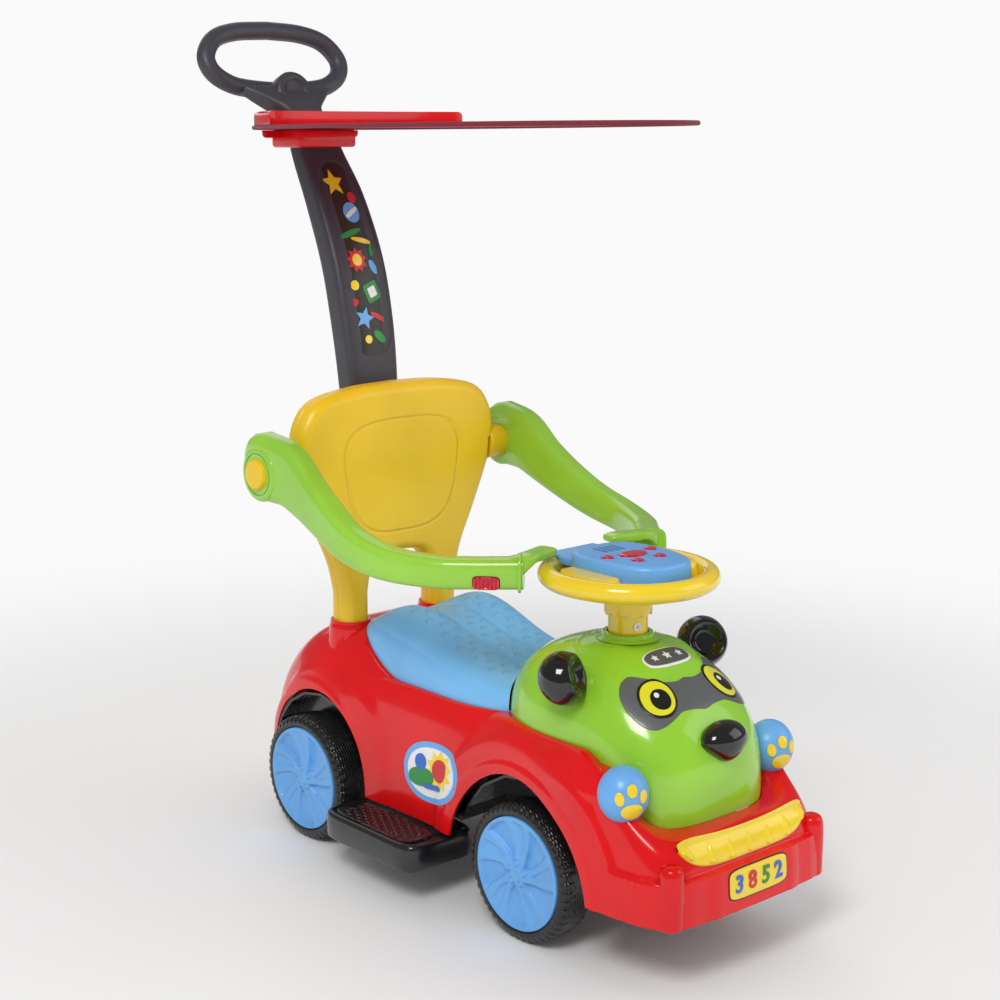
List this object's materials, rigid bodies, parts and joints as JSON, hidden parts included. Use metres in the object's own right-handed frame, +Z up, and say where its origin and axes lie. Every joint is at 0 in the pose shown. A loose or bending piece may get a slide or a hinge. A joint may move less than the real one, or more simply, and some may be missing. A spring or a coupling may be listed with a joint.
{
  "type": "ride on toy car",
  "caption": "Kids ride-on car with an animal-face hood, steering wheel with a music console, swing-up guard arms, backrest, push handle and sun canopy.",
  "frame": {"origin": "on the floor under the middle of the object's bounding box", "axes": "+Z up; the car drives towards -Y; +X is the car's left side"},
  "size_m": [0.3826, 0.7919, 0.9111],
  "materials": {
    "red_plastic": "glossy red moulded polypropylene",
    "green_plastic": "glossy apple green moulding",
    "blue_plastic": "light blue moulding with a soft gloss",
    "yellow_plastic": "warm yellow moulding with a soft gloss",
    "black_gloss": "high gloss black",
    "black_plastic": "black moulding, low gloss",
    "tyre_black": "hard black plastic tyre with moulded tread",
    "charcoal": "dark grey moulding with a fine grain",
    "button_red": "glossy red buttons",
    "canopy_fabric": "thin red polyester cloth with a dark piping",
    "steel": "zinc plated steel",
    "tub_grey": "plain grey storage tub",
    "board_green": "printed circuit board"
  },
  "bodies": {
    "chassis": {"body_shell": "red_plastic", "hood_head": "green_plastic", "nose": "black_gloss", "grille": "yellow_plastic", "chassis_tray": "black_plastic", "storage_tub": "tub_grey", "rear_axle": "steel", "rear_push_nut": "steel", "backrest_front": "yellow_plastic", "backrest_rear": "yellow_plastic", "push_column": "charcoal", "handle_loop": "charcoal", "canopy_hoop": "charcoal", "canopy_fabric": "canopy_fabric", "canopy_upper_cover": "red_plastic", "canopy_lower_cover": "red_plastic", "ear_left": "black_gloss", "headlight_left": "blue_plastic", "footboard_left": "black_plastic", "kingpin_left": "steel", "pivot_pin_left": "steel", "ear_right": "black_gloss", "headlight_right": "blue_plastic", "footboard_right": "black_plastic", "kingpin_right": "steel", "pivot_pin_right": "steel"},
    "steering": {"steering_wheel": "yellow_plastic", "steering_sleeve": "yellow_plastic", "clamp_screw": "steel", "steering_rod": "steel", "console_base": "black_plastic", "steering_console": "blue_plastic", "circuit_board": "board_green", "speaker": "black_plastic", "battery_pack": "black_plastic"},
    "horn": {"horn_button": "button_red"},
    "seat": {"seat_lid": "blue_plastic"},
    "link": {"tie_rod": "black_plastic"},
    "latch": {"latch_button": "button_red"},
    "guard_left": {"guard_arm_left": "green_plastic", "pivot_cap_left": "yellow_plastic"},
    "guard_right": {"guard_arm_right": "green_plastic", "pivot_cap_right": "yellow_plastic", "latch_spring": "steel"},
    "tune_1": {"tune_button_1": "button_red"},
    "tune_2": {"tune_button_2": "button_red"},
    "tune_3": {"tune_button_3": "button_red"},
    "tune_4": {"tune_button_4": "button_red"},
    "steer_left": {"knuckle_left": "black_plastic", "wheel_bolt_left": "steel"},
    "wheel_rear_left": {"tyre_rear_left": "tyre_black", "hubcap_rear_left": "blue_plastic"},
    "wheel_front_left": {"tyre_front_left": "tyre_black", "hubcap_front_left": "blue_plastic"},
    "steer_right": {"knuckle_right": "black_plastic", "wheel_bolt_right": "steel"},
    "wheel_rear_right": {"tyre_rear_right": "tyre_black", "hubcap_rear_right": "blue_plastic"},
    "wheel_front_right": {"tyre_front_right": "tyre_black", "hubcap_front_right": "blue_plastic"}
  },
  "joints": [
    {"name": "steering_turn", "type": "hinge", "parent": "chassis", "child": "steering", "pos_m": [0, -0.223, 0.33], "axis": [0, 0, 1], "range_deg": [-22, 22]},
    {"name": "seat_lift", "type": "slide", "parent": "chassis", "child": "seat", "axis": [0, 0, 1], "range_m": [0, 0.06]},
    {"name": "link_turn", "type": "hinge", "parent": "steer_left", "child": "link", "pos_m": [0.066, -0.1666, 0.0588], "axis": [0, 0, 1], "range_deg": [-22, 22]},
    {"name": "horn_press", "type": "slide", "parent": "steering", "child": "horn", "axis": [0, 0, -1], "range_m": [0, 0.0015], "stiffness_N_per_m": 400, "springref_m": -0.001},
    {"name": "latch_press", "type": "slide", "parent": "guard_right", "child": "latch", "axis": [0.7409, 0.6716, 0], "range_m": [0, 0.003], "stiffness_N_per_m": 350, "springref_m": -0.001, "deforming": ["latch_spring"]},
    {"name": "tune_press_1", "type": "slide", "parent": "steering", "child": "tune_1", "axis": [0, 0, -1], "range_m": [0, 0.0015], "stiffness_N_per_m": 300, "springref_m": -0.001},
    {"name": "tune_press_2", "type": "slide", "parent": "steering", "child": "tune_2", "axis": [0, 0, -1], "range_m": [0, 0.0015], "stiffness_N_per_m": 300, "springref_m": -0.001},
    {"name": "tune_press_3", "type": "slide", "parent": "steering", "child": "tune_3", "axis": [0, 0, -1], "range_m": [0, 0.0015], "stiffness_N_per_m": 300, "springref_m": -0.001},
    {"name": "tune_press_4", "type": "slide", "parent": "steering", "child": "tune_4", "axis": [0, 0, -1], "range_m": [0, 0.0015], "stiffness_N_per_m": 300, "springref_m": -0.001},
    {"name": "steer_left_turn", "type": "hinge", "parent": "chassis", "child": "steer_left", "pos_m": [0.066, -0.1966, 0.071], "axis": [0, 0, 1], "range_deg": [-22, 22]},
    {"name": "wheel_front_left_spin", "type": "hinge", "parent": "steer_left", "child": "wheel_front_left", "pos_m": [0.105, -0.1966, 0.071], "axis": [1, 0, 0], "continuous": true},
    {"name": "wheel_rear_left_spin", "type": "hinge", "parent": "chassis", "child": "wheel_rear_left", "pos_m": [0.105, 0.1634, 0.071], "axis": [1, 0, 0], "continuous": true},
    {"name": "guard_left_lift", "type": "hinge", "parent": "chassis", "child": "guard_left", "pos_m": [0.1715, 0.15, 0.43], "axis": [-1, 0, 0], "range_deg": [0, 90]},
    {"name": "steer_right_turn", "type": "hinge", "parent": "chassis", "child": "steer_right", "pos_m": [-0.066, -0.1966, 0.071], "axis": [0, 0, 1], "range_deg": [-22, 22]},
    {"name": "wheel_front_right_spin", "type": "hinge", "parent": "steer_right", "child": "wheel_front_right", "pos_m": [-0.105, -0.1966, 0.071], "axis": [1, 0, 0], "continuous": true},
    {"name": "wheel_rear_right_spin", "type": "hinge", "parent": "chassis", "child": "wheel_rear_right", "pos_m": [-0.105, 0.1634, 0.071], "axis": [1, 0, 0], "continuous": true},
    {"name": "guard_right_lift", "type": "hinge", "parent": "chassis", "child": "guard_right", "pos_m": [-0.1715, 0.15, 0.43], "axis": [-1, 0, 0], "range_deg": [0, 90]}
  ],
  "couplings": [
    {"joint": "steer_left_turn", "follows": "steering_turn", "ratio": 1},
    {"joint": "steer_right_turn", "follows": "steering_turn", "ratio": 1},
    {"joint": "link_turn", "follows": "steering_turn", "ratio": -1}
  ]
}
